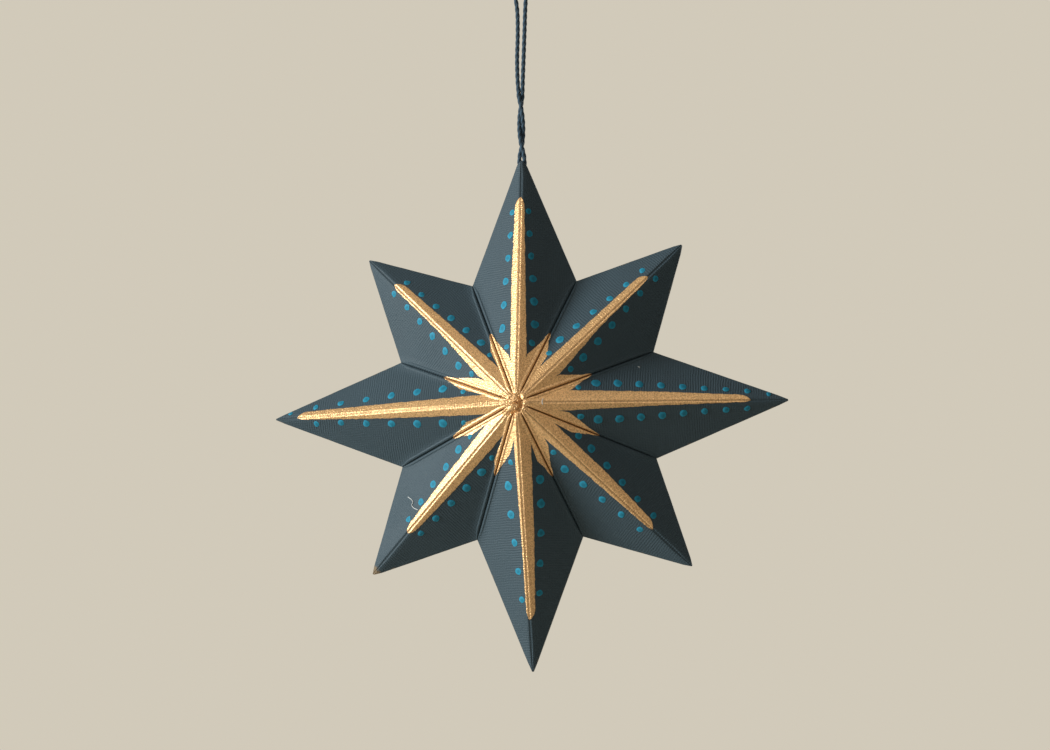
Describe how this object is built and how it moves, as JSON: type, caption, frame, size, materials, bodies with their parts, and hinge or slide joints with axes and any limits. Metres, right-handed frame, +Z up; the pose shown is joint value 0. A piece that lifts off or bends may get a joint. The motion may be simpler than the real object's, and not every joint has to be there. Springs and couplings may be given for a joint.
{
  "type": "hanging eight-point card star",
  "caption": "Hollow eight-point star of two folded card halves, with a gold starburst and dots painted on its front, hung by a twine loop.",
  "frame": {"origin": "where the twine loop hangs on its hook: the inside of the loop's top bend", "axes": "+Z up along the plumb line through the top point, -Y towards the painted front, +X to the viewer's right"},
  "size_m": [0.1702, 0.0465, 0.2413],
  "materials": {
    "front_card": "matte",
    "back_card": "matte",
    "gold_paint": "satin",
    "teal_paint": "satin",
    "twine": "matte"
  },
  "bodies": {
    "root": {"front_shell": "front_card", "back_shell": "back_card", "gold_starburst": "gold_paint", "teal_dots": "teal_paint", "hanging_cord": "twine"}
  },
  "joints": []
}
